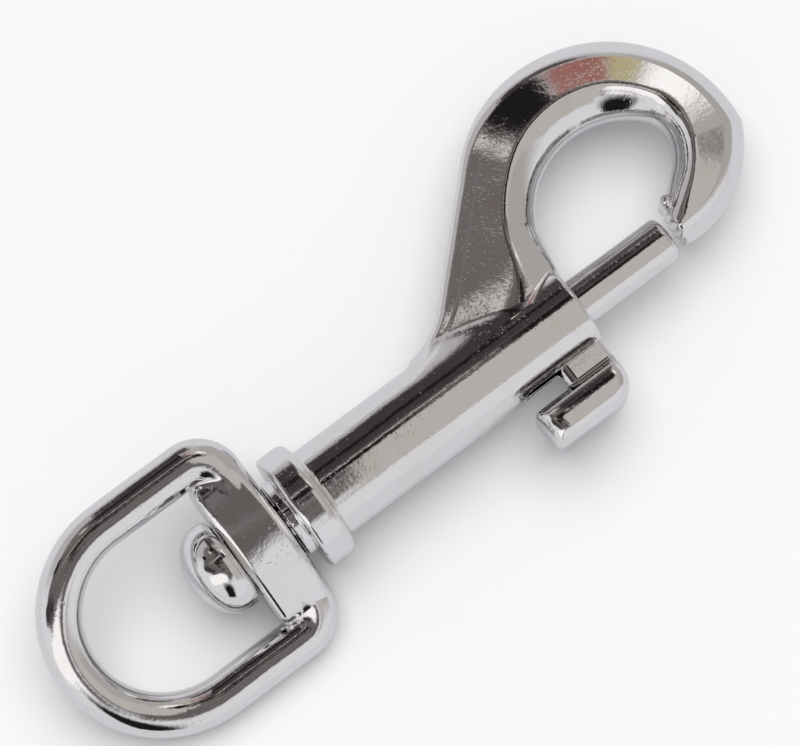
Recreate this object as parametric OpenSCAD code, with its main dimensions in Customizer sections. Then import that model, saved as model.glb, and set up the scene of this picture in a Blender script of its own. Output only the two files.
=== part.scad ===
// Swivel snap hook, lying flat.
// +X runs along the barrel towards the hook, +Y is the side that the hook swings out to,
// +Z is up. The origin is the middle of the eye's bow, on the barrel's axis.
// Inside the file, x counts from the collar's face; placed() moves each piece to the origin.

/* [Barrel] */
// Radius of the barrel
barrel_r = 4.85; // [4.2:0.05:5.8]
// Length from the collar's face to the barrel's mouth
barrel_length = 34.2; // [30:0.1:42]
// Radius of the collar at the swivel end
collar_r = 6.3; // [5.8:0.05:8]
// Length of the collar's full round
collar_length = 2.2; // [1.5:0.1:4]
// Length of the shoulder from the collar down to the barrel
shoulder_length = 1.1; // [0.6:0.1:2]
// Radius of the boss that the eye's bar bears on
boss_r = 4.1; // [3.4:0.1:5.2]
// Height of the boss over the collar's face
boss_height = 1.0; // [0.6:0.1:1.6]
// Wall between the swivel end and the spring bore
end_wall = 5.2; // [3.5:0.1:7]

/* [Bolt] */
// Radius of the sliding bolt
bolt_r = 2.45; // [2.1:0.05:3]
// How far the bolt reaches out of the barrel when shut
bolt_reach = 11.3; // [9.5:0.1:13.5]
// How far the bolt slides back
bolt_travel = 4.1; // [3:0.1:5]
// Rounding of the bolt's tip
bolt_tip = 0.75; // [0.3:0.05:1]
// Thickness of the lever's neck
neck_thickness = 3.0; // [2.2:0.1:3.6]
// Length of the lever's neck along the barrel
neck_length = 5.4; // [4:0.1:6.5]
// Length of the thumb pad
pad_length = 9.7; // [8:0.1:12]
// Depth of the thumb pad, outwards from the barrel
pad_depth = 4.4; // [3.2:0.1:6]
// Width of the thumb pad, across the hook
pad_width = 6.6; // [5:0.1:8]
// Air between the barrel and the thumb pad
pad_gap = 1.5; // [1:0.1:3]

/* [Hook] */
// Radius of the hook's opening
bight_r = 9; // [7.8:0.05:10.8]
// Distance of the opening's centre from the bolt's axis
bight_offset = 4.4; // [3.8:0.1:5]
// Radius of the hook's outer round
crown_r = 14.7; // [12.8:0.1:17.8]
// How far the outer round's centre lies above the opening's centre
crown_lift = 3; // [2.4:0.1:3.6]
// Slope of the spine over the barrel, in degrees
spine_slope = 44.2; // [38:0.2:50]
// Half thickness at the ridge of the hook's face
ridge_half = 3.5; // [2.8:0.1:4.2]
// Half thickness at the hook's outer edge
edge_half = 2.0; // [1.4:0.1:2.6]
// Distance of the ridge from the opening's edge
ridge_inset = 3.0; // [2.4:0.1:3.8]
// Half thickness of the nose
nose_half = 2.75; // [2.5:0.05:3.4]
// Gap between the shut bolt and the nose
nose_gap = 0.4; // [0.2:0.05:0.8]

/* [Swivel eye] */
// Radius of the eye's round stock
eye_stock_r = 2.25; // [1.8:0.05:2.7]
// Inside width of the eye
eye_inner_width = 16.2; // [14:0.1:19]
// Length of the eye's straight sides
eye_side_length = 9.3; // [6:0.1:13]
// Width of the eye's bar, along the barrel
bar_width = 5.9; // [5:0.1:7.5]
// Thickness of the eye's bar
bar_thickness = 6.5; // [5.2:0.1:8]
// Length of the thick stretch of the bar
bar_length = 15; // [12:0.1:15.5]

/* [Rivet] */
// Radius of the rivet's shank
shank_r = 1.9; // [1.5:0.05:2.2]
// Radius of the rivet's head
head_r = 4.85; // [3.8:0.05:5.6]
// Height of the rivet's head
head_height = 4.9; // [3:0.1:5.6]

/* [Spring] */
// Radius of the spring's wire
wire_r = 0.3; // [0.2:0.05:0.4]
// Number of the spring's turns
spring_turns = 11; // [8:1:14]

/* [Fits] */
// Air all round a sliding or turning fit
running_clearance = 0.07; // [0.04:0.01:0.1]
// Air at each side of the lever's neck in its slot
slot_clearance = 0.2; // [0.1:0.05:0.4]
// Air between the eye's bar and the faces that hold it
end_play = 0.15; // [0.1:0.05:0.3]

/* [Hidden] */

$fn = 96;
over = 1; // how far a cut runs past the face it opens
bore_r = bolt_r + running_clearance;
bolt_tip_x = barrel_length + bolt_reach;
nose_x = bolt_tip_x + nose_gap;
slot_half = neck_thickness / 2 + slot_clearance;
neck_back = 0.3; // from the mouth back to the neck's front
neck_x = barrel_length - neck_back - neck_length;
slot_x = neck_x - bolt_travel - slot_clearance;
bolt_tail_x = slot_x - 0.3; // the tail stays behind the slot's end while the bolt is shut
guide_r = 1.35; // pin on the bolt's tail that centres the spring
guide_length = 3;
coil_clearance = 0.15; // air between the coil and the bore
neck_root = 1; // how far the neck runs on into the bolt and into the pad
pad_round = 1.0; // rounding of the pad's long edges
pad_sweep = 2.8; // rounding of the pad's outer front corner
pad_corner = 0.4; // rounding of the pad's inner front corner
pad_y = barrel_r + pad_gap; // the pad's face next to the barrel

// The bar bears on the boss at one end and under the rivet's head at the other.
bar_x = -boss_height - end_play; // the bar's face next to the barrel
bar_inner_x = bar_x - bar_width;
head_x = bar_inner_x - end_play; // underside of the rivet's head
eye_half = eye_inner_width / 2 + eye_stock_r; // from the axis to the middle of a side
eye_corner_r = eye_stock_r + 0.35; // bend of the stock's middle line at the eye's two corners
eye_corner_x = bar_x - eye_stock_r - eye_corner_r;
eye_bow_x = eye_corner_x - eye_side_length;
// The eye leans on its lower side, level with the bottom of the collar.
eye_lean = asin((collar_r - eye_stock_r) / eye_half);
bar_bore_r = shank_r + running_clearance;

bar_round = 1.1; // rounding of the bar's long edges
head_edge = 0.7; // rounding under the rivet's head
tail_r = bore_r - 0.12; // upset end of the rivet, inside the bore
tail_height = 0.9;
tail_chamfer = 0.25;

collar_edge = 0.5; // rounding of the collar towards the eye
mouth_chamfer = 0.4; // round the barrel's mouth
seat_r = 0.55 * bolt_r; // shallow seat in the nose, facing the bolt's tip
seat_depth = 0.5;
fillet_r = 2.5; // where the spine's outer edge runs into the barrel

// All angles of the hook are seen from the opening's centre, from +X towards +Y.
bight = [nose_x - 1.8, bight_offset]; // the opening's centre
throat_x = barrel_length + 0.2; // the spine's wall over the barrel's mouth
wall_angles = [156, 184]; // the round edge turns into that wall between these angles
crown = [-0.1, crown_lift]; // centre of the outer round, from the opening's centre
spine_angle = 83 + spine_slope; // where the outer round runs into the straight spine
nose_dir = 40; // slope of the nose's inner face
nose_run = 3.25; // distance of that face from the opening's centre
nose_corner = 3.5; // rounding where that face meets the round edge
nose_spiral = 0.066; // the outer round closes in by this much a degree, towards the nose
spiral_from = 5;
thin_angles = [-55, 30]; // the hook thins down to the nose between these angles
root_angles = [148, 184]; // the ridge moves outwards over the barrel between these angles
root_inset = 0.9; // by this much
nose_inset = 0.5; // and it moves inwards by this much at the nose
outer_round_w = 1.4; // width of the rounding along the outer edge
inner_steps = 5;
outer_steps = 4;
root_angle = 185.4;
nose_angle = -76;
hook_rings = 36;

// Smallest of two values, with a rounded corner of size k between them
function soft_min(a, b, k) =
    let (h = max(k - abs(a - b), 0) / k)
    min(a, b) - h * h * k / 4;

// Value that goes from a to b while x goes from x0 to x1
function ramp(x, x0, x1, a, b) =
    let (t = min(max((x - x0) / (x1 - x0), 0), 1))
    a + (b - a) * t * t * (3 - 2 * t);

// Distance from the opening's centre to a straight face, along the ray at angle t
function to_face(t, face_dir, offset) =
    let (across = sin(face_dir) * cos(t) - cos(face_dir) * sin(t))
    across > 0.05 ? offset / across : 1000;

// Edge of the hook's opening, along the ray at angle t: round, with a straight wall
// over the barrel's mouth and a straight face on the nose
function inner_edge(t) =
    t > wall_angles[0]
        ? ramp(t, wall_angles[0], wall_angles[1], bight_r, (throat_x - bight[0]) / cos(t))
        : soft_min(bight_r, to_face(t, nose_dir, nose_run), nose_corner);

// Distance from the opening's centre to the spine's outer line
spine_offset = crown_r - crown[0] * sin(spine_slope) + crown[1] * cos(spine_slope);

// Outer edge of the hook, along the ray at angle t
function outer_round(t) =
    let (b = crown[0] * cos(t) + crown[1] * sin(t), r = crown_r - nose_spiral * max(spiral_from - t, 0))
    b + sqrt(r * r - crown * crown + b * b);
function outer_edge(t) =
    t > spine_angle ? to_face(t - 180, spine_slope, spine_offset) : outer_round(t);

// Upper half of the hook's section from the inner to the outer edge, as distance and height
function half_section(t) =
    let (a = inner_edge(t), b = outer_edge(t))
    let (at_nose = ramp(t, thin_angles[0], thin_angles[1], 1, 0))
    let (at_root = ramp(t, root_angles[0], root_angles[1], 0, 1))
    let (inset = ridge_inset - nose_inset * at_nose + root_inset * at_root)
    let (ridge = ridge_half + (nose_half - ridge_half) * at_nose, edge = min(edge_half, ridge))
    concat(
        [for (i = [0:inner_steps])
            let (turn = 90 * i / inner_steps)
            [a + inset * (1 - cos(turn)), ridge * sin(turn)]],
        [for (i = [1:outer_steps])
            let (turn = 90 * i / outer_steps)
            [b - outer_round_w * (1 - sin(turn)), edge * cos(turn)]]
    );

// Closed section ring at angle t, in the part's frame
function hook_ring(t) =
    let (half = half_section(t), n = len(half))
    let (ring = concat([for (p = half) [p[0], -p[1]]], [for (i = [n - 2:-1:1]) half[i]]))
    [for (p = ring) [bight[0] + p[0] * cos(t), bight[1] + p[0] * sin(t), p[1]]];

// Points along an arc from angle a0 to a1
function arc(centre, r, a0, a1, steps) =
    [for (i = [0:steps]) centre + r * [cos(a0 + (a1 - a0) * i / steps), sin(a0 + (a1 - a0) * i / steps)]];

// Solid skinned over a list of rings that all have the same number of points
module skin(rings) {
    n = len(rings[0]);
    last = len(rings) - 1;
    polyhedron(
        points = [for (ring = rings) each ring],
        faces = concat(
            [[for (i = [0:n - 1]) i]],
            [for (k = [0:last - 1], i = [0:n - 1])
                each [[k * n + i, (k + 1) * n + i, (k + 1) * n + (i + 1) % n],
                      [k * n + i, (k + 1) * n + (i + 1) % n, k * n + (i + 1) % n]]],
            [[for (i = [n - 1:-1:0]) last * n + i]]
        )
    );
}

// Moves a piece from the collar's face to the part's own origin
module placed() {
    translate([-eye_bow_x, 0, 0])
        children();
}

// Turned piece along X, from a list of [x, radius]
module turned(profile) {
    rotate([0, 90, 0])
        rotate_extrude()
            polygon([for (p = profile) [p[1], p[0]]]);
}

// Round bar along X
module rod(x, length, r) {
    translate([x, 0, 0])
        rotate([0, 90, 0])
            cylinder(r = r, h = length);
}

// Rectangle from corner to corner with all four corners rounded
module rounded_rect(low, high, r) {
    translate([low[0] + r, low[1]])
        square([high[0] - low[0] - 2 * r, high[1] - low[1]]);
    translate([low[0], low[1] + r])
        square([high[0] - low[0], high[1] - low[1] - 2 * r]);
    for (x = [low[0] + r, high[0] - r], y = [low[1] + r, high[1] - r])
        translate([x, y])
            circle(r = r);
}

// Barrel, collar and boss as one turned shape
module barrel() {
    steps = 4;
    turned(concat(
        [[-boss_height, 0], [-boss_height, boss_r], [0, boss_r]],
        arc([collar_edge, collar_r - collar_edge], collar_edge, 180, 90, steps),
        [for (i = [0:steps])
            let (turn = 90 * i / steps)
            [collar_length + shoulder_length * sin(turn), barrel_r + (collar_r - barrel_r) * cos(turn)]],
        [[barrel_length - mouth_chamfer, barrel_r], [barrel_length, barrel_r - mouth_chamfer],
         [barrel_length, 0]]
    ));
}

// Fillet where the spine's outer edge runs into the barrel
module spine_fillet() {
    half = edge_half - 0.1;
    sunk = barrel_r / 2; // how deep it runs into the barrel
    run = fillet_r * tan(spine_slope / 2);
    corner_x = bight[0] - spine_offset / sin(spine_slope)
        - (bight[1] - barrel_r) / tan(spine_slope);
    translate([corner_x, barrel_r, -half])
        linear_extrude(2 * half)
            polygon(concat(
                arc([-run, fillet_r], fillet_r, -90, spine_slope - 90, 6),
                [[2 * run, -sunk], [-run, -sunk]]
            ));
}

module hook_body() {
    color("silver")
        placed()
            difference() {
                union() {
                    barrel();
                    hook();
                    spine_fillet();
                }
                // spring bore, and the way that the bolt slides in
                rod(end_wall, barrel_length - end_wall + over, bore_r);
                // hole for the rivet
                rod(-boss_height - over, end_wall + boss_height + 2 * over, shank_r);
                lever_slot();
                rod(nose_x - over, over + seat_depth, seat_r);
            }
}

// Spine, hook and nose, which ends square to the bolt
module hook() {
    nose_cut = 2 * bolt_r + bight_offset; // deeper than the nose reaches
    difference() {
        skin([for (i = [0:hook_rings])
            hook_ring(root_angle + (nose_angle - root_angle) * i / hook_rings)]);
        translate([bight[0] - over, bight_offset - nose_cut - bolt_r, -ridge_half - over])
            cube([nose_x - bight[0] + over, nose_cut + bolt_r, 2 * (ridge_half + over)]);
    }
}

// Slot that the lever slides in: open at the mouth, round at its inner end
module lever_slot() {
    translate([slot_x + slot_half, -barrel_r - over, -slot_half])
        cube([barrel_length - slot_x, barrel_r + over, 2 * slot_half]);
    translate([slot_x + slot_half, 0, 0])
        rotate([90, 0, 0])
            cylinder(r = slot_half, h = barrel_r + over);
}

module bolt() {
    guide_edge = 0.3; // chamfer at the guide pin's end
    guide_x = bolt_tail_x - guide_length;
    color("silver")
        placed() {
            turned(concat(
                [[guide_x, 0], [guide_x, guide_r - guide_edge], [guide_x + guide_edge, guide_r]],
                [[bolt_tail_x, guide_r], [bolt_tail_x, bolt_r]],
                arc([bolt_tip_x - bolt_tip, bolt_r - bolt_tip], bolt_tip, 90, 0, 4),
                [[bolt_tip_x, 0]]
            ));
            lever_neck();
            thumb_pad();
        }
}

// Neck from the bolt down to the thumb pad, round at its back like the slot's end
module lever_neck() {
    half = neck_thickness / 2;
    translate([neck_x + half, -pad_y - neck_root, -half])
        cube([neck_length - half, pad_y, neck_thickness]);
    translate([neck_x + half, -neck_root, 0])
        rotate([90, 0, 0])
            cylinder(r = half, h = pad_y);
}

// Thumb pad with rounded edges and a sweep at its outer front corner
module thumb_pad() {
    front = neck_x + neck_length;
    back = front - pad_length;
    outer = -pad_y - pad_depth;
    intersection() {
        translate([0, 0, -pad_width / 2])
            linear_extrude(pad_width)
                polygon(concat(
                    arc([back + pad_round, outer + pad_round], pad_round, 180, 270, 4),
                    arc([front - pad_sweep, outer + pad_sweep], pad_sweep, 270, 350, 8),
                    arc([front - pad_corner, -pad_y - pad_corner], pad_corner, 0, 90, 3),
                    arc([back + pad_round, -pad_y - pad_round], pad_round, 90, 180, 4)
                ));
        translate([back - over, 0, 0])
            rotate([90, 0, 90])
                linear_extrude(pad_length + 2 * over)
                    rounded_rect([outer, -pad_width / 2], [-pad_y, pad_width / 2], pad_round);
        translate([0, -pad_y + over, 0])
            rotate([90, 0, 0])
                linear_extrude(pad_depth + 2 * over)
                    rounded_rect([back, -pad_width / 2], [front, pad_width / 2], pad_round);
    }
}

// Compression spring, from the rivet's upset end to the bolt's shoulder
module bolt_spring() {
    coil_r = bore_r - wire_r - coil_clearance;
    start = end_wall + tail_height + wire_r;
    length = bolt_tail_x - start - wire_r;
    steps = 12; // rings a turn
    sides = 6; // of the wire
    count = spring_turns * steps;
    dead = steps; // the first and the last turn lie flat
    live = count - 2 * dead;
    flat_pitch = 2 * wire_r + 0.05;
    live_length = length - 2 * flat_pitch;
    color("gray")
        placed()
            skin([for (k = [0:count])
                let (a = k * 360 / steps)
                let (x = start + flat_pitch * (min(k, dead) + max(k - dead - live, 0)) / dead
                    + live_length * min(max(k - dead, 0), live) / live)
                [for (i = [0:sides - 1])
                    let (b = -i * 360 / sides, r = coil_r + wire_r * cos(b))
                    [x + wire_r * sin(b), r * cos(a), r * sin(a)]]]);
}

// Bow, sides, bends and the bar's core, all of the same round stock
module eye_stock() {
    straight = eye_half - eye_corner_r; // from the axis to where the bends start
    translate([eye_bow_x, 0, 0])
        rotate([0, 0, 90])
            rotate_extrude(angle = 180)
                translate([eye_half, 0])
                    circle(r = eye_stock_r);
    for (side = [-1, 1]) {
        translate([0, side * eye_half, 0])
            rod(eye_bow_x, eye_corner_x - eye_bow_x, eye_stock_r);
        translate([eye_corner_x, side * straight, 0])
            rotate([0, 0, side > 0 ? 0 : -90])
                rotate_extrude(angle = 90)
                    translate([eye_corner_r, 0])
                        circle(r = eye_stock_r);
    }
    translate([bar_x - eye_stock_r, straight, 0])
        rotate([90, 0, 0])
            cylinder(r = eye_stock_r, h = 2 * straight);
}

module swivel_eye() {
    color("silver")
        placed()
            rotate([eye_lean, 0, 0])
                difference() {
                    union() {
                        eye_stock();
                        translate([0, bar_length / 2, 0])
                            rotate([90, 0, 0])
                                linear_extrude(bar_length)
                                    rounded_rect([bar_inner_x, -bar_thickness / 2],
                                                 [bar_x, bar_thickness / 2], bar_round);
                    }
                    rod(bar_inner_x - over, bar_width + 2 * over, bar_bore_r);
                }
}

module swivel_rivet() {
    flank = 1.2; // height of the head's straight side
    dome = head_height - flank;
    steps = 6;
    tail_x = end_wall + tail_height;
    color("silver")
        placed()
            turned(concat(
                [[head_x - head_height, 0]],
                [for (i = [1:steps])
                    let (turn = 90 * i / steps)
                    [head_x - flank - dome * cos(turn), head_r * sin(turn)]],
                arc([head_x - head_edge, head_r - head_edge], head_edge, 90, 0, 3),
                [[head_x, shank_r], [end_wall, shank_r], [end_wall, tail_r]],
                [[tail_x - tail_chamfer, tail_r], [tail_x, tail_r - tail_chamfer], [tail_x, 0]]
            ));
}

hook_body();
bolt();
bolt_spring();
swivel_eye();
swivel_rivet();
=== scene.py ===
import math

import bpy
import numpy as np
import openvdb
from mathutils import Matrix, Vector


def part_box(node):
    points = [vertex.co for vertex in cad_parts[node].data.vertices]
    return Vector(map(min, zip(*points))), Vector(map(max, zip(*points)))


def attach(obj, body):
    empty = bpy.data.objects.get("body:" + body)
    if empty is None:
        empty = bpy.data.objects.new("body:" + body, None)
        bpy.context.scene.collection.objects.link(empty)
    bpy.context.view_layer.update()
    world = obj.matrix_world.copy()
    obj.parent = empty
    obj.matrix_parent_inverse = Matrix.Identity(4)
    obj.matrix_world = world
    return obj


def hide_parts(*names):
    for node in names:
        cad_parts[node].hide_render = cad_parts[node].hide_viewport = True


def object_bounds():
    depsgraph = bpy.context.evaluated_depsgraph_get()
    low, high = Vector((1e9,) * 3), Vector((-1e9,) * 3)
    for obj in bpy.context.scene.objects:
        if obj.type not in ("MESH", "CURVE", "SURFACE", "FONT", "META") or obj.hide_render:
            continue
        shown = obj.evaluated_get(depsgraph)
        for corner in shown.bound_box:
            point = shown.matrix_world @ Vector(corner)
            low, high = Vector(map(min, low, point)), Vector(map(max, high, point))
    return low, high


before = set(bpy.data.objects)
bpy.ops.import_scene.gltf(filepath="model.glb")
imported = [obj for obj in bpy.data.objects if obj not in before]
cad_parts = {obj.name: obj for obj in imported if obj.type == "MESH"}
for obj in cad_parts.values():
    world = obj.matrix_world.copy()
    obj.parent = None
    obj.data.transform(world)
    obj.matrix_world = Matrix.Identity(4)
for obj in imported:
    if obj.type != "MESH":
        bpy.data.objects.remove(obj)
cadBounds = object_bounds()

mm = 0.001
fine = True
sink = 1.0       # mm that one part of a casting runs into the next, or that a hole starts outside it
over = 0.5       # mm that a cut runs past the face that it opens


def boxInMm(node):
    low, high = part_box(node)
    return np.array(low) / mm, np.array(high) / mm


# rounded joins between distance fields: negative is inside, all sizes in mm

def roundMax(a, b, k):
    # intersection whose edge is rounded with radius k
    return np.minimum(np.maximum(a, b), -k) + np.hypot(np.maximum(a + k, 0), np.maximum(b + k, 0))


def roundMin(a, b, k):
    # union with a fillet of radius k
    return -roundMax(-a, -b, k)


def bevelMax(a, b, width, r):
    # intersection with a flat bevel whose own edges are rounded with radius r
    return roundMax(roundMax(a, b, r), (a + b + width) * math.sqrt(0.5), r)


def ramp(x, x0, x1, a, b):
    t = np.clip((x - x0) / (x1 - x0), 0, 1)
    return a + (b - a) * t * t * (3 - 2 * t)


def between(pair, t):
    return pair[0] + (pair[1] - pair[0]) * t


def softLess(a, b, k):
    # the smaller of two values, rounded off where they cross
    h = np.maximum(k - np.abs(a - b), 0) / k
    return np.minimum(a, b) - h * h * k / 4


def voxelOf(shape):
    # grid step of a piece's mesh: the first for renders, the second for a quick try
    return shape["voxel"][0] if fine else shape["voxel"][1]


def slab(x, x0, x1):
    return np.maximum(x0 - x, x - x1)


def ripple(x, y, z, seed, length):
    # slow swell of a cast and polished surface, between about -1 and 1
    rng = np.random.default_rng(seed)
    total = 0
    for k in range(7):
        way = rng.normal(size=3)
        way *= 2 * math.pi / (length * rng.uniform(0.7, 1.7) * np.linalg.norm(way))
        total = total + np.sin(way[0] * x + way[1] * y + way[2] * z + rng.uniform(0, 6.28))
    return total / 3.5


def meshFromField(name, distance, low, high, voxel):
    # quads on a voxel grid, then every point is drawn onto the field's zero and takes its normal
    low, high = np.array(low) - 3 * voxel, np.array(high) + 3 * voxel
    count = np.ceil((high - low) / voxel).astype(int) + 1
    ys = low[1] + voxel * np.arange(count[1])
    zs = low[2] + voxel * np.arange(count[2])
    values = np.empty(tuple(count), np.float32)
    gridY, gridZ = np.meshgrid(ys, zs, indexing="ij")
    for i in range(0, count[0], 8):
        xs = low[0] + voxel * np.arange(i, min(i + 8, count[0]))
        values[i:i + 8] = distance(xs[:, None, None], gridY[None], gridZ[None])
    grid = openvdb.FloatGrid(float(3 * voxel))
    grid.copyFromArray(np.clip(values, -3 * voxel, 3 * voxel))
    points, quads = grid.convertToQuads(isovalue=0.0)
    points = points.astype(float) * voxel + low
    step = 0.02
    for _ in range(4):
        value = distance(*points.T)
        slope = fieldSlope(distance, points, step)
        length = np.maximum(np.linalg.norm(slope, axis=1), 0.3)
        move = np.clip(value / length, -0.5 * voxel, 0.5 * voxel)
        points -= slope / length[:, None] * move[:, None]
    normals = fieldSlope(distance, points, step)
    normals /= np.linalg.norm(normals, axis=1)[:, None]
    corner = points[quads]
    facing = np.cross(corner[:, 1] - corner[:, 0], corner[:, 3] - corner[:, 0])
    if (facing * normals[quads[:, 0]]).sum() < 0:
        quads = quads[:, ::-1]
    return meshPiece(name, points, quads, normals)


def fieldSlope(distance, points, step):
    out = np.empty_like(points)
    for axis in range(3):
        shift = np.zeros(3)
        shift[axis] = step
        out[:, axis] = (distance(*(points + shift).T) - distance(*(points - shift).T)) / (2 * step)
    return out


def meshPiece(name, points, faces, normals=None):
    mesh = bpy.data.meshes.new(name)
    mesh.from_pydata((points * mm).tolist(), [], faces.tolist() if hasattr(faces, "tolist") else faces)
    mesh.update()
    mesh.shade_smooth()
    if normals is not None:
        mesh.normals_split_custom_set_from_vertices(normals.tolist())
    piece = bpy.data.objects.new(name, mesh)
    bpy.context.scene.collection.objects.link(piece)
    return piece


def finishPiece(piece, body, node, material):
    piece.data.materials.append(material)
    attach(piece, body)
    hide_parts(node)
    print("made", piece.name, len(piece.data.polygons), "faces")


# hook body: barrel, collar, spine and hook in one casting

hookShape = {
    "barrelR": 4.85,
    "barrelTaper": 0.06,      # the barrel is this much thinner at its mouth
    "mouthEdge": 0.45,
    "collarR": 6.3,
    "collarLength": 3.3,
    "collarEdge": 0.45,       # rounding towards the eye
    "collarShoulder": 1.0,    # rounding towards the barrel
    "bossR": 4.1,
    "bossHeight": 1.0,
    "endWall": 5.2,
    "boreR": 2.52,
    "boltReach": 11.3,
    "noseGap": 0.8,
    "slotHalf": 1.7,
    "slotLength": 10.0,
    "crownR": 14.7,
    "crownShift": (-0.1, 3.0),  # from the opening's centre to the outer round's centre
    "closeIn": 0.08,          # the outer round draws in by this much a degree, towards the nose
    "closeFrom": -10.0,
    "spineSlope": 44.2,
    "bightR": 9.0,
    "wallTurn": 166.4,        # where the opening's round runs into the straight wall of the mouth
    "noseSlope": 40.0,
    "noseRun": 3.25,
    "noseCorner": 3.5,
    "edgeHalf": 2.1,          # half thickness at the outer edge
    "faceSlope": 0.27,        # how the flat face rises from the outer edge to the ridge
    "ridgeHalf": 4.3,         # it rises no further than this
    "edgeBevel": (0.35, 1.6),  # width of the outer edge's bevel, on the spine and round the hook
    "edgeRound": 0.45,
    "bevelTurn": (70, 140),   # turns about the crown in degrees, here and below
    "noseTurn": (-70, 10),    # the section grows into the nose's between these
    "noseThicker": 0.3,
    "noseFlatter": 1.0,
    "raiseTurn": (0, 60),
    "ridgeBlend": (0.25, 0.5),
    "rootHeight": (3, 11),    # the section becomes the root's between these heights over the axis
    "wallFrom": 4.0,          # the mouth's straight wall ends this far behind the nose
    "wallHalf": (2.2, 2.9),  # half thickness that the inner side rises from, round the hook and at its root
    "wallSlope": (0.4, 0.36),
    "noseRaise": 0.6,         # the ridge runs nearer to the opening towards the nose
    "innerRound": (2.9, 0.8),
    "innerShare": 0.92,       # that rounding is no more than this share of the half thickness
    "innerLeast": 0.4,
    "noseRound": 0.6,
    "noseCutTop": 1.0,
    "noseCutStart": 5.0,      # from the barrel's mouth
    "lipR": 0.6,              # small lip at the nose's inner corner
    "lipAt": (0.95, -1.75),   # from the nose's end and the opening's centre
    "lipHalf": 2.6,
    "lipRound": 0.6,
    "lipFillet": 0.35,
    "hookSpan": (-16, 60),    # from the barrel's mouth
    "rootEnd": 2.0,
    "rootCut": 2.2,           # the hook's root starts this high over the axis, inside the barrel
    "filletAt": (-15, -9, -4, 0),    # places along the root, from the barrel's mouth
    "rootFillet": (1.2, 0.6, 0.25, 0.2),
    "flareRound": 2.5,        # seen from above, where the spine's edge runs into the barrel
    "flareInset": 0.1,
    "seamTurn": -120,         # turns about the crown are counted on from here, inside the mouth
    "stripWidth": 1.9,        # shallow bevel along the spine's outer edge
    "stripDrop": 0.04,
    "stripSoft": 0.25,
    "stripTurn": (110, 150),
    "crimps": 4,              # small ridges pressed into the nose's end
    "crimpDepth": 0.35,
    "crimpPitch": 0.95,
    "crimpShift": 2.2,
    "crimpLean": 0.25,
    "crimpTop": 1.0,
    "crimpStart": 2.0,
    "crimpEdge": 0.12,
    "slotPast": 4.0,          # the slot is open towards the hook
    "slotEdge": 0.25,
    "boreEdge": 0.15,
    "collarFillet": 0.3,
    "bossFillet": 0.15,
    "swell": 0.012,           # height of the slow swell left by polishing
    "swellSeed": 3,
    "swellLength": 7,
    "voxel": (0.2, 0.35),
}


def hookFrame():
    s = hookShape
    low, high = boxInMm("hook_body")
    boltHigh = boxInMm("bolt")[1]
    crown = np.array([high[0] - s["crownR"], high[1] - s["crownR"]])
    return {
        "low": low, "high": high,
        "collar": low[0] + s["bossHeight"],
        "mouth": boltHigh[0] - s["boltReach"],
        "nose": boltHigh[0] + s["noseGap"],
        "crown": crown,
        "bight": crown - np.array(s["crownShift"]),
        "slot": boltHigh[0] - s["boltReach"] - s["slotLength"],
    }


def hookOutline(x, y, at):
    # distance to the hook's outer edge and to the edge of its opening, seen from above
    s = hookShape
    slope = math.radians(s["spineSlope"])
    dx, dy = x - at["crown"][0], y - at["crown"][1]
    turn = np.degrees(np.arctan2(dy, dx))
    turn = np.where(turn < s["seamTurn"], turn + 360, turn)
    outer = np.hypot(dx, dy) - (s["crownR"] - s["closeIn"] * np.maximum(s["closeFrom"] - turn, 0))
    spine = -math.sin(slope) * dx + math.cos(slope) * dy - s["crownR"]
    spine = roundMin(spine, y - s["barrelR"] + s["flareInset"], s["flareRound"])
    outer = np.where(turn > 90 + s["spineSlope"], spine, outer)
    bx, by = x - at["bight"][0], y - at["bight"][1]
    nose = math.radians(s["noseSlope"])
    noseFace = math.sin(nose) * bx - math.cos(nose) * by - s["noseRun"]
    opening = roundMax(np.hypot(bx, by) - s["bightR"], noseFace, s["noseCorner"])
    # below the round the opening runs on as a straight wall to the barrel's mouth
    wall = math.radians(s["wallTurn"])
    across = math.cos(wall) * bx + math.sin(wall) * by - s["bightR"]
    down = math.cos(wall) * by - math.sin(wall) * bx
    opening = np.where((down > 0) & (x < at["nose"] - s["wallFrom"]), across, opening)
    return outer, opening, turn


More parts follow.
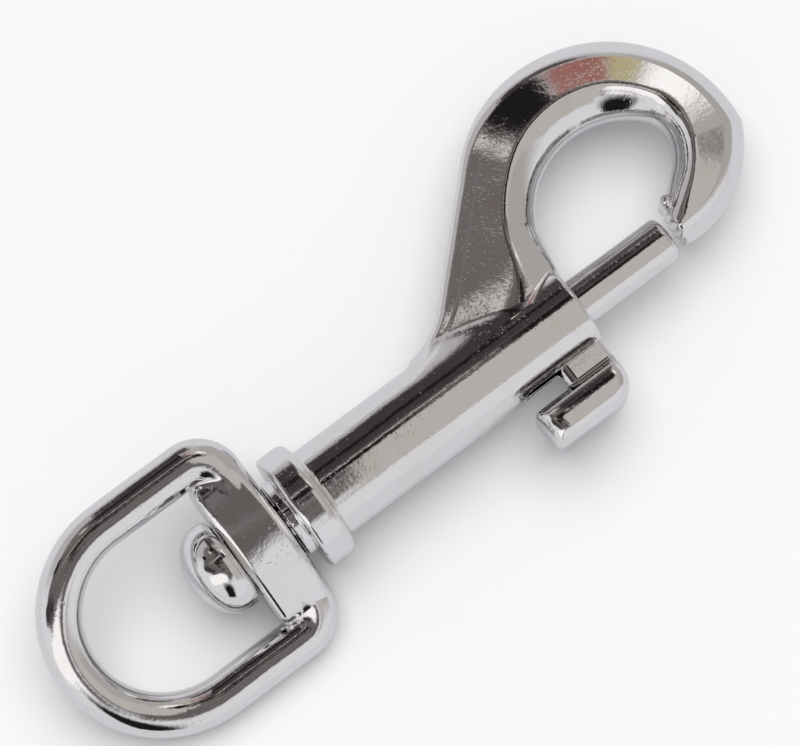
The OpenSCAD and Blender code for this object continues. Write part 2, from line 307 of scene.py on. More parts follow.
def hookField(at):
    s = hookShape
    lip = (at["nose"] + s["lipAt"][0], at["bight"][1] + s["lipAt"][1])
    hookStart, hookEnd = at["mouth"] + s["hookSpan"][0], at["mouth"] + s["hookSpan"][1]
    farInside = -20.0

    def hookSolid(x, y, z):
        outer, opening, turn = hookOutline(x, y, at)
        toNose = ramp(turn, *s["noseTurn"], 1, 0)
        atRoot = ramp(y, *s["rootHeight"], 1, 0) * (x < at["nose"] - s["wallFrom"])
        rise = s["edgeHalf"] + s["noseThicker"] * toNose - s["faceSlope"] * outer
        fall = between(s["wallHalf"], atRoot) + between(s["wallSlope"], atRoot) * opening
        fall = fall + ramp(turn, *s["raiseTurn"], s["noseRaise"], 0)
        half = softLess(rise, fall, s["ridgeBlend"][0])
        half = softLess(half, s["ridgeHalf"] - s["noseFlatter"] * toNose, s["ridgeBlend"][1])
        onSpine = ramp(turn, *s["stripTurn"], 0, 1)
        strip = ramp(-outer, s["stripWidth"] - s["stripSoft"], s["stripWidth"] + s["stripSoft"], 1, 0)
        strip = onSpine * s["stripDrop"] * strip
        face = (np.abs(z) - half + strip) / math.hypot(1, s["faceSlope"])
        bevel = between(s["edgeBevel"], ramp(turn, *s["bevelTurn"], 1, 0))
        hook = bevelMax(outer, face, bevel, s["edgeRound"])
        inner = np.clip(s["innerShare"] * half, s["innerLeast"], between(s["innerRound"], atRoot))
        hook = roundMax(hook, -opening, inner)
        knob = np.hypot(x - lip[0], y - lip[1]) - s["lipR"]
        knob = roundMax(knob, np.abs(z) - s["lipHalf"], s["lipRound"])
        hook = roundMin(hook, knob, s["lipFillet"])
        noseCut = np.maximum(x - at["nose"], y - at["bight"][1] - s["noseCutTop"])
        noseCut = np.maximum(noseCut, at["mouth"] + s["noseCutStart"] - x)
        hook = roundMax(hook, -noseCut, s["noseRound"])
        below = np.where(x < at["mouth"] + s["rootEnd"], s["rootCut"] - y, farInside)
        return np.maximum(np.maximum(hook, below), slab(x, hookStart, hookEnd))

    def crimp(x, y, z):
        # the nose's end is pressed into a few ridges towards the opening
        across = y - at["bight"][1] + s["crimpShift"] + s["crimpLean"] * z
        wave = 0.5 - 0.5 * np.cos(2 * math.pi * np.clip(-across / s["crimpPitch"], 0, s["crimps"]))
        return np.maximum(x - at["nose"] - s["crimpDepth"] * wave, across - s["crimpTop"])

    def distance(x, y, z):
        r = np.hypot(y, z)
        along = (x - at["collar"]) / (at["mouth"] - at["collar"])
        barrel = roundMax(r - s["barrelR"] + s["barrelTaper"] * along, slab(x, at["collar"], at["mouth"]),
                          s["mouthEdge"])
        collar = roundMax(r - s["collarR"], at["collar"] - x, s["collarEdge"])
        collar = roundMax(collar, x - at["collar"] - s["collarLength"], s["collarShoulder"])
        boss = np.maximum(r - s["bossR"], slab(x, at["low"][0], at["collar"] + sink))
        fillet = np.interp(x, at["mouth"] + np.array(s["filletAt"]), s["rootFillet"])
        solid = roundMin(barrel, hookSolid(x, y, z), fillet)
        solid = roundMin(solid, collar, s["collarFillet"])
        solid = roundMin(solid, boss, s["bossFillet"])
        boreEnd = at["collar"] + s["endWall"]
        bore = np.maximum(r - s["boreR"], slab(x, boreEnd, at["mouth"] + over))
        rivetHole = np.maximum(r - rivetShape["shankR"], slab(x, at["low"][0] - sink, boreEnd + over))
        slotEnd = np.hypot(np.minimum(x - at["slot"] - s["slotHalf"], 0), z) - s["slotHalf"]
        slot = np.maximum(np.maximum(slotEnd, y), x - at["mouth"] - s["slotPast"])
        solid = roundMax(solid, -bore, s["boreEdge"])
        solid = roundMax(solid, -slot, s["slotEdge"])
        solid = np.maximum(solid, -rivetHole)
        crimps = np.maximum(crimp(x, y, z), at["nose"] - s["crimpStart"] - x)
        solid = roundMax(solid, -crimps, s["crimpEdge"])
        return solid + s["swell"] * ripple(x, y, z, s["swellSeed"], s["swellLength"])

    return distance


def buildHookBody(material):
    at = hookFrame()
    piece = meshFromField("hookBody", hookField(at), at["low"], at["high"], voxelOf(hookShape))
    finishPiece(piece, "hook", "hook_body", material)


# bolt with its thumb lever

boltShape = {
    "boltR": 2.45,
    "boltTaper": 0.05,
    "tipRound": 0.7,
    "guideR": 1.35,
    "guideLength": 3.0,
    "neckHalf": 1.5,
    "neckLength": 5.4,
    "neckBack": 0.3,          # from the barrel's mouth back to the neck
    "padLength": 9.7,
    "padDepth": 4.4,
    "padBevel": 0.9,
    "padCrown": 4.6,          # radius of the pad's arched faces
    "padSweep": 2.8,
    "padCorner": 0.8,
    "padEdge": 0.35,
    "padReach": 10.0,         # the corners past the front are cut by the sweep
    "padTip": (3, 0.05),      # length and amount by which the pad thins towards its back end
    "padFillet": 0.3,
    "neckRound": 0.5,
    "neckTop": -1.0,          # inside the pin, just under its axis
    "neckFillet": 0.25,
    "tailRound": 0.3,
    "guideRound": 0.25,
    "guideFillet": 0.2,
    "swell": 0.008,
    "swellSeed": 11,
    "swellLength": 5,
    "voxel": (0.14, 0.3),
}


def buildBolt(material):
    s = boltShape
    low, high = boxInMm("bolt")
    front = high[0] - hookShape["boltReach"] - s["neckBack"]
    back = front - s["padLength"]
    neckX = front - s["neckLength"]
    padTop = low[1] + s["padDepth"]
    tail = low[0] + s["guideLength"]

    def distance(x, y, z):
        r = np.hypot(y, z)
        along = (x - tail) / (high[0] - tail)
        pin = roundMax(r - s["boltR"] + s["boltTaper"] * along, x - high[0], s["tipRound"])
        pin = roundMax(pin, tail - x, s["tailRound"])
        guide = roundMax(r - s["guideR"], slab(x, low[0], tail + sink), s["guideRound"])
        neck = np.hypot(np.minimum(x - neckX - s["neckHalf"], 0), z) - s["neckHalf"]
        neck = roundMax(neck, x - front, s["neckRound"])
        neck = np.maximum(neck, slab(y, padTop - sink, s["neckTop"]))
        corner = roundMax(slab(x, back, front + s["padReach"]), slab(y, low[1], padTop), s["padCorner"])
        sweep = roundMax(x - front, low[1] - y, s["padSweep"])
        outline = np.maximum(corner, sweep)
        arch = (y - (low[1] + padTop) / 2) ** 2 / (2 * s["padCrown"])
        tip = s["padTip"][1] * np.maximum(back + s["padTip"][0] - x, 0) ** 2
        pad = bevelMax(outline, np.abs(z) - high[2] + arch + tip, s["padBevel"], s["padEdge"])
        solid = roundMin(pin, guide, s["guideFillet"])
        solid = roundMin(solid, neck, s["neckFillet"])
        solid = roundMin(solid, pad, s["padFillet"])
        return solid + s["swell"] * ripple(x, y, z, s["swellSeed"], s["swellLength"])

    piece = meshFromField("slidingBolt", distance, low, high, voxelOf(s))
    finishPiece(piece, "bolt", "bolt", material)


# swivel eye, a D-shaped ring with a thick drilled bar

eyeShape = {
    "stockR": 2.25,
    "barWidth": 5.9,
    "barHalf": 3.25,
    "barReach": 8.3,
    "barRound": 0.85,
    "barCrown": 24.0,         # radius of the bar's slight bulge, lengthwise
    "barThinning": 0.45,      # share of the bulge that the bar's face towards the barrel draws in
    "barEndRound": 1.3,
    "barFillet": 0.45,
    "cornerR": 2.6,
    "boreR": 1.97,
    "boreEdge": 0.15,
    "swell": 0.012,
    "swellSeed": 5,
    "swellLength": 6,
    "voxel": (0.16, 0.3),
}


def buildEye(material):
    s = eyeShape
    low, high = boxInMm("swivel_eye")
    middle = -low[0] - s["stockR"]           # from the axis to the middle of a side
    # the eye leans until its side lies as low as the collar
    lean = math.asin((hookShape["collarR"] - s["stockR"]) / middle)
    barX = high[0] - s["stockR"]             # middle line of the stock along the bar

    def distance(x, y, z):
        v = y * math.cos(lean) + z * math.sin(lean)
        w = z * math.cos(lean) - y * math.sin(lean)
        # the stock's middle line: a round bow, two sides, and a bar with rounded corners
        bow = np.abs(np.hypot(x, v) - middle)
        cornerX = barX - s["cornerR"]
        side = np.abs(v) - (middle - s["cornerR"])
        box = np.hypot(np.maximum(x - cornerX, 0), np.maximum(side, 0)) - s["cornerR"]
        box = box + np.minimum(np.maximum(x - cornerX, side), 0)
        line = np.where(x < 0, bow, np.abs(box))
        stock = np.hypot(line, w) - s["stockR"]
        bulge = v * v / (2 * s["barCrown"])
        barMid = high[0] - s["barWidth"] / 2
        barFace = np.abs(w) - s["barHalf"] + bulge
        barSide = np.abs(x - barMid) - s["barWidth"] / 2 + s["barThinning"] * bulge * (x > barMid)
        bar = roundMax(barFace, barSide, s["barRound"])
        bar = roundMax(bar, np.abs(v) - s["barReach"], s["barEndRound"])
        solid = roundMin(stock, bar, s["barFillet"])
        bore = np.maximum(np.hypot(y, z) - s["boreR"], high[0] - s["barWidth"] - sink - x)
        solid = roundMax(solid, -bore, s["boreEdge"])
        return solid + s["swell"] * ripple(x, v, w, s["swellSeed"], s["swellLength"])

    piece = meshFromField("swivelEye", distance, low, high, voxelOf(s))
    finishPiece(piece, "eye", "swivel_eye", material)


# swivel rivet, turned about the barrel's axis

rivetShape = {
    "headR": 4.85,
    "headHeight": 4.9,
    "domePower": 0.9,         # 1 gives an ellipse, less a fuller dome
    "domeSteps": 18,
    "flank": 1.2,
    "rim": ((-0.6, -0.05), (-0.25, -0.25), (0, -0.7)),    # rounding under the head: x, change of radius
    "shankR": 1.9,
    "shankFillet": 0.1,
    "tailR": 2.4,
    "tailHeight": 0.9,
    "tailEdge": (0.2, 0.3),
    "segments": 128,
}


def lathe(name, profile, segments):
    # profile: (x, radius) from one end of the axis to the other
    rows = [p for p in profile if p[1] > 1e-6]
    points = [(profile[0][0], 0, 0)]
    for x, r in rows:
        for k in range(segments):
            a = 2 * math.pi * k / segments
            points.append((x, r * math.cos(a), r * math.sin(a)))
    points.append((profile[-1][0], 0, 0))
    faces = []
    for k in range(segments):
        after = (k + 1) % segments
        faces.append((0, 1 + after, 1 + k))
        for row in range(len(rows) - 1):
            a, b = 1 + row * segments, 1 + (row + 1) * segments
            faces.append((a + k, a + after, b + after, b + k))
        last = 1 + (len(rows) - 1) * segments
        faces.append((last + k, last + after, len(points) - 1))
    return meshPiece(name, np.array(points, float), faces)


def buildRivet(material):
    s = rivetShape
    low, high = boxInMm("swivel_rivet")
    under = low[0] + s["headHeight"]
    dome = s["headHeight"] - s["flank"]
    tail = high[0] - s["tailHeight"]
    tailRise, tailDraw = s["tailEdge"]
    profile = [(low[0], 0)]
    for i in range(1, s["domeSteps"] + 1):
        a = math.radians(i * 90 / s["domeSteps"])
        height = dome * math.cos(a) ** s["domePower"]
        profile.append((under - s["flank"] - height, s["headR"] * math.sin(a)))
    profile += [(under + x, s["headR"] + r) for x, r in s["rim"]]
    profile += [(under, s["shankR"] + s["shankFillet"]), (under + s["shankFillet"], s["shankR"])]
    profile += [(tail, s["shankR"]), (tail, s["tailR"]), (high[0] - tailRise, s["tailR"])]
    profile += [(high[0], s["tailR"] - tailDraw), (high[0], 0)]
    piece = lathe("swivelRivet", profile, s["segments"])
    finishPiece(piece, "hook", "swivel_rivet", material)


# bolt spring, a plain coil that keeps its length

springShape = {
    "wireR": 0.3,
    "turns": 11,
    "coilGap": 0.05,          # between the closed coils at both ends
    "steps": 28,              # to one turn
    "sides": 10,
}


def buildSpring(material):
    s = springShape
    low, high = boxInMm("bolt_spring")
    coilR = high[2] - s["wireR"]
    x0, x1 = low[0] + s["wireR"], high[0] - s["wireR"]
    count = s["turns"] * s["steps"]
    dead = s["steps"]
    pitch = 2 * s["wireR"] + s["coilGap"]
    live = (x1 - x0) - 2 * pitch
    points, faces = [], []
    for k in range(count + 1):
        a = 2 * math.pi * k / s["steps"]
        start, end = min(k, dead) / dead, max(k - count + dead, 0) / dead
        middle = min(max(k - dead, 0), count - 2 * dead) / (count - 2 * dead)
        x = x0 + pitch * (start + end) + live * middle
        for i in range(s["sides"]):
            b = -2 * math.pi * i / s["sides"]
            r = coilR + s["wireR"] * math.cos(b)
            points.append((x + s["wireR"] * math.sin(b), r * math.cos(a), r * math.sin(a)))
    n = s["sides"]
    for k in range(count):
        for i in range(n):
            j = (i + 1) % n
            faces.append((k * n + i, k * n + j, (k + 1) * n + j, (k + 1) * n + i))
    faces.append(tuple(range(n)))
    faces.append(tuple(count * n + i for i in reversed(range(n))))
    piece = meshPiece("boltSpring", np.array(points, float), faces)
    finishPiece(piece, "hook", "bolt_spring", material)


# node helpers and shared effects

def newGroup(name, inputs, outputs):
    # inputs: (name, socket type, value); outputs: (name, socket type)
    tree = bpy.data.node_groups.new(name, "ShaderNodeTree")
    for label, kind, value in inputs:
        socket = tree.interface.new_socket(name=label, in_out="INPUT", socket_type="NodeSocket" + kind)
        if value is not None:
            socket.default_value = value
    for label, kind in outputs:
        tree.interface.new_socket(name=label, in_out="OUTPUT", socket_type="NodeSocket" + kind)
    return tree, tree.nodes.new("NodeGroupInput"), tree.nodes.new("NodeGroupOutput")


def put(tree, target, value):
    # a socket, or a plain value
    if isinstance(value, bpy.types.NodeSocket):
        tree.links.new(value, target)
    else:
        target.default_value = value


def addMath(tree, operation, *values, clamp=False):
    node = tree.nodes.new("ShaderNodeMath")
    node.operation = operation
    node.use_clamp = clamp
    for k, value in enumerate(values):
        put(tree, node.inputs[k], value)
    return node.outputs[0]


def addVector(tree, operation, *values):
    node = tree.nodes.new("ShaderNodeVectorMath")
    node.operation = operation
    for k, value in enumerate(values):
        put(tree, node.inputs[k], value)
    return node.outputs[0]


def addNoise(tree, vector, scale, detail=2.0, roughness=0.5, distortion=0.0):
    node = tree.nodes.new("ShaderNodeTexNoise")
    put(tree, node.inputs["Vector"], vector)
    put(tree, node.inputs["Scale"], scale)
    put(tree, node.inputs["Detail"], detail)
    put(tree, node.inputs["Roughness"], roughness)
    put(tree, node.inputs["Distortion"], distortion)
    return node.outputs["Fac"]


def addRange(tree, value, low, high, toLow=0.0, toHigh=1.0):
    node = tree.nodes.new("ShaderNodeMapRange")
    node.interpolation_type = "SMOOTHSTEP"
    for k, v in enumerate((value, low, high, toLow, toHigh)):
        put(tree, node.inputs[k], v)
    return node.outputs[0]


def addMix(tree, factor, a, b):
    node = tree.nodes.new("ShaderNodeMix")
    node.data_type = "RGBA"
    put(tree, node.inputs["Factor"], factor)
    put(tree, node.inputs["A"], a)
    put(tree, node.inputs["B"], b)
    return node.outputs["Result"]


def addGroup(tree, group, **values):
    node = tree.nodes.new("ShaderNodeGroup")
    node.node_tree = group
    for label, value in values.items():
        put(tree, node.inputs[label], value)
    return node


# fineness of each kind of mark in the skin, as a noise scale to the mm
grain = {"wave": 0.45, "peel": 2.6, "pits": 3.2, "cover": 0.22, "cloud": 0.35, "haze": 1.4}


def skinGroup():
    # height of a cast, polished and plated skin: broad waves, orange peel and scattered pits
    tree, given, out = newGroup("skin", [
        ("Point", "Vector", None), ("Wave", "Float", 1.0), ("Peel", "Float", 1.0),
        ("Pits", "Float", 1.0), ("Pit Cover", "Float", 0.3)], [("Height", "Float"), ("Pit", "Float")])
    point = given.outputs["Point"]
    wave = addNoise(tree, point, grain["wave"], 2.0, 0.5, 0.4)
    peel = addNoise(tree, point, grain["peel"], 3.0, 0.62)
    cells = tree.nodes.new("ShaderNodeTexVoronoi")
    put(tree, cells.inputs["Vector"], point)
    cells.inputs["Scale"].default_value = grain["pits"]
    dot = addRange(tree, cells.outputs["Distance"], 0.12, 0.42, 1.0, 0.0)
    chosen = tree.nodes.new("ShaderNodeSeparateColor")
    tree.links.new(cells.outputs["Color"], chosen.inputs[0])
    field = addNoise(tree, point, grain["cover"], 1.0)
    cover = addMath(tree, "MULTIPLY", given.outputs["Pit Cover"], addRange(tree, field, 0.35, 0.65))
    some = addMath(tree, "LESS_THAN", chosen.outputs[0], cover)
    pit = addMath(tree, "MULTIPLY", dot, some)
    height = addMath(tree, "MULTIPLY", wave, given.outputs["Wave"])
    height = addMath(tree, "MULTIPLY_ADD", peel, given.outputs["Peel"], height)
    height = addMath(tree, "SUBTRACT", height, addMath(tree, "MULTIPLY", pit, given.outputs["Pits"]))
    tree.links.new(height, out.inputs["Height"])
    tree.links.new(pit, out.inputs["Pit"])
    return tree


def toneGroup():
    # slight changes of tone and gloss in the plating
    tree, given, out = newGroup("tone", [
        ("Point", "Vector", None), ("Color", "Color", (0.8, 0.8, 0.8, 1)),
        ("Stain", "Color", (0.6, 0.5, 0.4, 1)), ("Stained", "Float", 0.1),
        ("Gloss", "Float", 0.05), ("Haze", "Float", 0.05)],
        [("Color", "Color"), ("Roughness", "Float")])
    cloud = addNoise(tree, given.outputs["Point"], grain["cloud"], 3.0, 0.6)
    amount = addMath(tree, "MULTIPLY", addRange(tree, cloud, 0.4, 0.75), given.outputs["Stained"])
    color = addMix(tree, amount, given.outputs["Color"], given.outputs["Stain"])
    tree.links.new(color, out.inputs["Color"])
    smear = addNoise(tree, given.outputs["Point"], grain["haze"], 3.0, 0.7)
    rough = addMath(tree, "MULTIPLY_ADD", addRange(tree, smear, 0.45, 0.8), given.outputs["Haze"],
                    given.outputs["Gloss"])
    tree.links.new(rough, out.inputs["Roughness"])
    return tree


def platedMetal(name, look, skin, tone):
    material = bpy.data.materials.new(name)
    material.use_nodes = True
    tree = material.node_tree
    shader = tree.nodes["Principled BSDF"]
    coords = tree.nodes.new("ShaderNodeTexCoord")
    point = addVector(tree, "MULTIPLY", coords.outputs["Object"], (1 / mm, 1 / mm, 1 / mm))
    relief = addGroup(tree, skin, **{"Point": point, "Wave": look["wave"], "Peel": look["peel"],
                                     "Pits": look["pits"], "Pit Cover": look["pitCover"]})
    plate = addGroup(tree, tone, **{"Point": point, "Color": look["color"], "Stain": look["stain"],
                                    "Stained": look["stained"], "Gloss": look["gloss"],
                                    "Haze": look["haze"]})
    bump = tree.nodes.new("ShaderNodeBump")
    bump.inputs["Strength"].default_value = 1
    bump.inputs["Distance"].default_value = look["relief"] * mm
    tree.links.new(relief.outputs["Height"], bump.inputs["Height"])
    tree.links.new(bump.outputs["Normal"], shader.inputs["Normal"])
    tree.links.new(plate.outputs["Color"], shader.inputs["Base Color"])
    tree.links.new(plate.outputs["Roughness"], shader.inputs["Roughness"])
    shader.inputs["Metallic"].default_value = 1
    return material


castingLook = {
    "color": (0.79, 0.785, 0.785, 1), "stain": (0.72, 0.66, 0.62, 1), "stained": 0.25,
    "gloss": 0.045, "haze": 0.06,
    "relief": 0.02, "wave": 1.0, "peel": 0.45, "pits": 0.25, "pitCover": 0.35,
}
eyeLook = dict(castingLook, pits=0.35, pitCover=0.15)
boltLook = dict(castingLook, wave=0.6, peel=0.35, pits=0.25, pitCover=0.12)
rivetLook = dict(castingLook, wave=1.2, peel=0.4, pits=0.2, pitCover=0.1)
springLook = dict(castingLook, color=(0.62, 0.61, 0.6, 1), gloss=0.2, haze=0.1, wave=0.2, peel=0.2,
                  pits=0.1, pitCover=0.1)


# studio

studio = {
    "floorShade": (0.92, 0.92, 0.92, 1),
    # painted shade: the darker floor colour that polished parts see in their reflections
    "floorPaintedShade": (0.72, 0.72, 0.745, 1),
    "floorRough": 0.9,
    "floorHalf": 2.0,        # metres
    "fill": 0.55,
    "fillShade": (0.9, 0.9, 0.92, 1),
    "lampPower": 1.8,
    "lampAngle": 60.0,
    "lampTilt": (-14, 10),
    "tiltX": 6.0,            # the camera stands this many degrees towards the eye
    "tiltY": 9.0,            # and this many towards the lever
    "roll": 37.08,           # the barrel's slope across the view
    "aim": (1.19, -0.23),    # from the middle of the model, in mm
    "distance": 0.42,
    "viewWidth": 77.6 * mm,  # width of the view at that distance
    "sensorWidth": 36,
}


def buildCamera():
    s = studio
    low, high = [Vector(v) for v in cadBounds]
    target = Vector(((low.x + high.x) / 2 + s["aim"][0] * mm, (low.y + high.y) / 2 + s["aim"][1] * mm, 0))
    tiltX, tiltY = math.radians(s["tiltX"]), math.radians(s["tiltY"])
    away = Vector((-math.tan(tiltX), -math.tan(tiltY), 1)).normalized()
    roll = math.radians(s["roll"])
    right = Vector((math.cos(roll), -math.sin(roll), 0))
    right = (right - away * right.dot(away)).normalized()
    up = away.cross(right)
    turn = Matrix((right, up, away)).transposed().to_4x4()
    data = bpy.data.cameras.new("camera")
    data.sensor_width = s["sensorWidth"]
    data.lens = s["sensorWidth"] * s["distance"] / s["viewWidth"]
    data.clip_start = 0.01
    data.clip_end = 10
    camera = bpy.data.objects.new("camera", data)
    camera.matrix_world = Matrix.Translation(target + away * s["distance"]) @ turn
    bpy.context.scene.collection.objects.link(camera)
    bpy.context.scene.camera = camera
    print("placed the camera")


# the room around the part, as patches on the sky: seen from the part, looking up, u runs along +X and
# v along +Y, the zenith is 0, 0 and the horizon is at distance 1
roomBase = (0.80, 0.80, 0.83, 1)
roomPatches = [
    # name, u, v, half width, half height, turn in degrees, roundness, soft edge, color
    ("side haze", 0.62, 0.02, 0.44, 0.55, -10, 3, 0.25, (0.46, 0.44, 0.42)),
    ("far wall", -0.05, 0.62, 0.55, 0.30, 0, 3, 0.2, (0.52, 0.50, 0.50)),
    ("ceiling", -0.10, 0.05, 0.36, 0.40, 35, 4, 0.06, (0.15, 0.132, 0.13)),
    ("window", -0.43, -0.22, 0.34, 0.13, 166, 3, 0.04, (1.15, 1.13, 1.12)),
    ("stand", -0.37, -0.68, 0.17, 0.30, -22, 3, 0.1, (0.012, 0.011, 0.012)),
    ("far gap", 0.2, 0.62, 0.13, 0.17, 0, 3, 0.1, (0.10, 0.09, 0.09)),
    ("side gap", -0.5, 0.1, 0.15, 0.08, -35, 3, 0.05, (0.05, 0.045, 0.045)),
    ("far column", 0.05, 0.46, 0.055, 0.275, 0, 8, 0.02, (0.055, 0.047, 0.047)),
    ("thin lamp", -0.02, 0.152, 0.22, 0.006, 0, 8, 0.008, (0.8, 0.76, 0.73)),
    ("near gap", 0.2, -0.33, 0.1, 0.08, 30, 3, 0.06, (0.12, 0.11, 0.11)),
    ("calm", -0.135, 0.27, 0.05, 0.06, 0, 3, 0.03, (0.17, 0.15, 0.147)),
    ("curtain", 0.03, 0.37, 0.076, 0.04, 5, 5, 0.012, (0.014, 0.012, 0.012)),
    ("curtain edge", -0.086, 0.335, 0.016, 0.045, 28, 5, 0.02, (0.75, 0.71, 0.68)),
    ("door", 0.196, 0.343, 0.074, 0.03, -24, 5, 0.012, (0.36, 0.15, 0.12)),
    ("shelf", 0.283, 0.285, 0.034, 0.034, -43, 5, 0.012, (0.52, 0.46, 0.24)),
    ("side lamp", 0.352, 0.19, 0.07, 0.045, -66, 3, 0.05, (1.2, 1.18, 1.16)),
]
ceilingClutter = {
    "after": 3,               # it hangs in front of this many of the patches above
    "count": 14,
    "seed": 8,
    "centre": (-0.08, 0.06),
    "reach": (0.3, 0.3),
    "halfWidth": (0.02, 0.09),
    "halfHeight": (0.01, 0.05),
    "turn": (-60, 60),
    "roundness": 3,
    "soft": 0.03,
    "dark": 0.012,
    "light": 0.26,
    "dimmest": 0.6,           # least share of the light shade
    "tint": (1, 0.93, 0.92),
}
lowestLook = -0.8             # the room spreads no wider for directions that point further down than this

# cards that hang over the part, seen only as reflections: name, centre, half width and half height in mm,
# turn in degrees, color
cards = [
    ("nearCard", (95, -80, 130), 62, 96, 0, (0.56, 0.53, 0.50)),
    ("barrelCard", (30, 27, 129), 13, 10, 0, (0.012, 0.011, 0.011)),
    ("crestCard", (74, 36, 129), 17, 13, 12, (0.012, 0.011, 0.011)),
]


def patchGroup():
    tree, given, out = newGroup("patch", [
        ("Under", "Color", None), ("U", "Float", 0.0), ("V", "Float", 0.0), ("At U", "Float", 0.0),
        ("At V", "Float", 0.0), ("Half Width", "Float", 0.1), ("Half Height", "Float", 0.1),
        ("Turn", "Float", 0.0), ("Roundness", "Float", 2.0), ("Soft", "Float", 0.1),
        ("Color", "Color", None)], [("Color", "Color")])
    du = addMath(tree, "SUBTRACT", given.outputs["U"], given.outputs["At U"])
    dv = addMath(tree, "SUBTRACT", given.outputs["V"], given.outputs["At V"])
    c = addMath(tree, "COSINE", given.outputs["Turn"])
    s = addMath(tree, "SINE", given.outputs["Turn"])
    a = addMath(tree, "ADD", addMath(tree, "MULTIPLY", du, c), addMath(tree, "MULTIPLY", dv, s))
    b = addMath(tree, "SUBTRACT", addMath(tree, "MULTIPLY", dv, c), addMath(tree, "MULTIPLY", du, s))
    a = addMath(tree, "ABSOLUTE", addMath(tree, "DIVIDE", a, given.outputs["Half Width"]))
    b = addMath(tree, "ABSOLUTE", addMath(tree, "DIVIDE", b, given.outputs["Half Height"]))
    n = given.outputs["Roundness"]
    total = addMath(tree, "ADD", addMath(tree, "POWER", a, n), addMath(tree, "POWER", b, n))
    reach = addMath(tree, "POWER", total, addMath(tree, "DIVIDE", 1.0, n))
    least = addMath(tree, "MINIMUM", given.outputs["Half Width"], given.outputs["Half Height"])
    away = addMath(tree, "MULTIPLY", addMath(tree, "SUBTRACT", reach, 1.0), least)
    soft = given.outputs["Soft"]
    inner = addMath(tree, "MULTIPLY", soft, -0.5)
    outer = addMath(tree, "MULTIPLY", soft, 0.5)
    cover = addRange(tree, away, inner, outer, 1.0, 0.0)
    color = addMix(tree, cover, given.outputs["Under"], given.outputs["Color"])
    tree.links.new(color, out.inputs["Color"])
    return tree


def clutter():
    # small things hanging from the dark ceiling
    c = ceilingClutter
    rng = np.random.default_rng(c["seed"])
    found = []
    for k in range(c["count"]):
        u = c["centre"][0] + c["reach"][0] * rng.uniform(-1, 1)
        v = c["centre"][1] + c["reach"][1] * rng.uniform(-1, 1)
        shade = c["dark"] if k % 2 else c["light"] * rng.uniform(c["dimmest"], 1)
        width, height, turn = [rng.uniform(*c[key]) for key in ("halfWidth", "halfHeight", "turn")]
        tint = tuple(shade * part for part in c["tint"])
        found.append(("clutter", u, v, width, height, turn, c["roundness"], c["soft"], tint))
    return found


def buildRoom():
    world = bpy.data.worlds.new("studio")
    bpy.context.scene.world = world
    world.use_nodes = True
    tree = world.node_tree
    patch = patchGroup()
    coords = tree.nodes.new("ShaderNodeTexCoord")
    parts = tree.nodes.new("ShaderNodeSeparateXYZ")
    tree.links.new(coords.outputs["Generated"], parts.inputs[0])
    below = addMath(tree, "ADD", addMath(tree, "MAXIMUM", parts.outputs[2], lowestLook), 1.0)
    u = addMath(tree, "DIVIDE", parts.outputs[0], below)
    v = addMath(tree, "DIVIDE", parts.outputs[1], below)
    color = roomBase
    after = ceilingClutter["after"]
    patches = roomPatches[:after] + clutter() + roomPatches[after:]
    for _, atU, atV, width, height, turn, roundness, soft, tint in patches:
        node = addGroup(tree, patch, **{
            "Under": color, "U": u, "V": v, "At U": atU, "At V": atV, "Half Width": width,
            "Half Height": height, "Turn": math.radians(turn), "Roundness": roundness,
            "Soft": soft, "Color": (*tint, 1)})
        color = node.outputs[0]
    back = tree.nodes["Background"]
    tree.links.new(color, back.inputs["Color"])
    # the floor and other dull things are lit by the lamp and a plain share of the room
    light = tree.nodes.new("ShaderNodeLightPath")
    dull = tree.nodes.new("ShaderNodeBackground")
    dull.inputs["Color"].default_value = studio["fillShade"]
    dull.inputs["Strength"].default_value = studio["fill"]
    pick = tree.nodes.new("ShaderNodeMixShader")
    tree.links.new(light.outputs["Is Diffuse Ray"], pick.inputs[0])
    tree.links.new(back.outputs[0], pick.inputs[1])
    tree.links.new(dull.outputs[0], pick.inputs[2])
    tree.links.new(pick.outputs[0], tree.nodes["World Output"].inputs["Surface"])
    print("built the room with", len(patches), "patches")


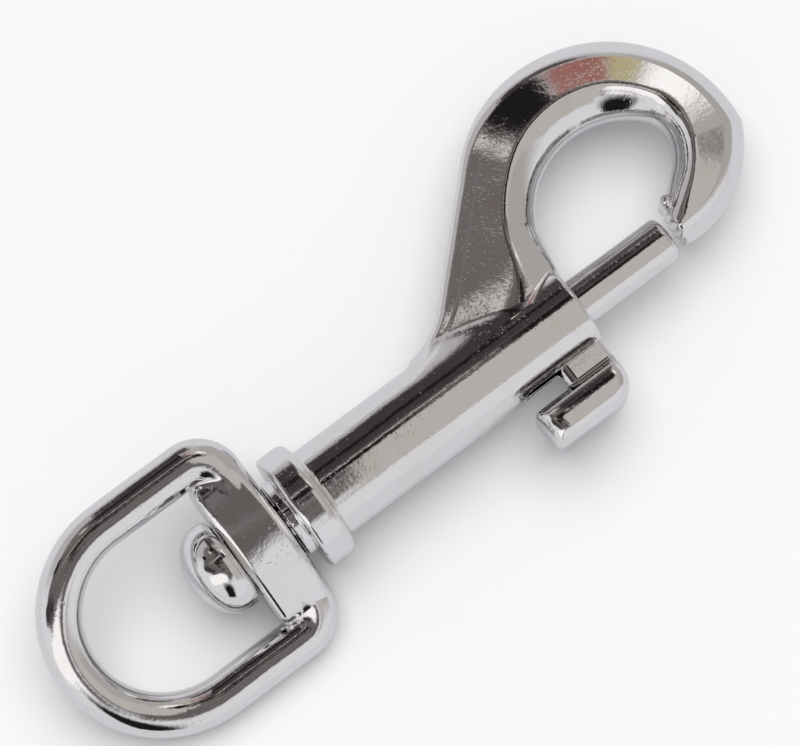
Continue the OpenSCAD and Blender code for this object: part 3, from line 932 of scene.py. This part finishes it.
def hangCard(name, centre, width, height, turn, tint):
    mesh = bpy.data.meshes.new(name)
    corners = [(-width, -height, 0), (width, -height, 0), (width, height, 0), (-width, height, 0)]
    mesh.from_pydata([[c * mm for c in corner] for corner in corners], [], [(0, 1, 2, 3)])
    card = bpy.data.objects.new(name, mesh)
    card.location = [c * mm for c in centre]
    card.rotation_euler = (0, 0, math.radians(turn))
    bpy.context.scene.collection.objects.link(card)
    material = bpy.data.materials.new(name)
    material.use_nodes = True
    shader = material.node_tree.nodes["Principled BSDF"]
    shader.inputs["Base Color"].default_value = (0, 0, 0, 1)
    shader.inputs["Specular IOR Level"].default_value = 0
    shader.inputs["Emission Color"].default_value = (*tint, 1)
    shader.inputs["Emission Strength"].default_value = 1
    mesh.materials.append(material)
    card.visible_camera = False
    card.visible_diffuse = False
    card.visible_shadow = False


def buildStudio():
    scene = bpy.context.scene
    scene.view_settings.view_transform = "Standard"
    buildRoom()
    z = cadBounds[0][2]
    half = studio["floorHalf"]
    mesh = bpy.data.meshes.new("floor")
    corners = [(-half, -half, z), (half, -half, z), (half, half, z), (-half, half, z)]
    mesh.from_pydata(corners, [], [(0, 1, 2, 3)])
    floor = bpy.data.objects.new("floor", mesh)
    scene.collection.objects.link(floor)
    material = bpy.data.materials.new("floor")
    material.use_nodes = True
    shader = material.node_tree.nodes["Principled BSDF"]
    # painted shade: polished parts see the floor a little darker in their reflections, as a card under them
    # would make it
    tree = material.node_tree
    light = tree.nodes.new("ShaderNodeLightPath")
    shade = addMix(tree, light.outputs["Is Glossy Ray"], studio["floorShade"], studio["floorPaintedShade"])
    tree.links.new(shade, shader.inputs["Base Color"])
    shader.inputs["Roughness"].default_value = studio["floorRough"]
    floor.data.materials.append(material)
    for name, centre, width, height, turn, tint in cards:
        hangCard(name, centre, width, height, turn, tint)
    lamp = bpy.data.lights.new("softLamp", "SUN")
    lamp.energy = studio["lampPower"]
    lamp.angle = math.radians(studio["lampAngle"])
    holder = bpy.data.objects.new("softLamp", lamp)
    holder.visible_glossy = False
    tiltX, tiltY = studio["lampTilt"]
    holder.rotation_euler = (math.radians(tiltX), math.radians(tiltY), 0)
    scene.collection.objects.link(holder)
    print("built the studio with", len(cards), "cards")


buildCamera()
buildStudio()
skin, tone = skinGroup(), toneGroup()
casting = platedMetal("nickelCasting", castingLook, skin, tone)
buildHookBody(casting)
buildBolt(platedMetal("nickelBolt", boltLook, skin, tone))
buildEye(platedMetal("nickelEye", eyeLook, skin, tone))
buildRivet(platedMetal("nickelRivet", rivetLook, skin, tone))
buildSpring(platedMetal("springSteel", springLook, skin, tone))
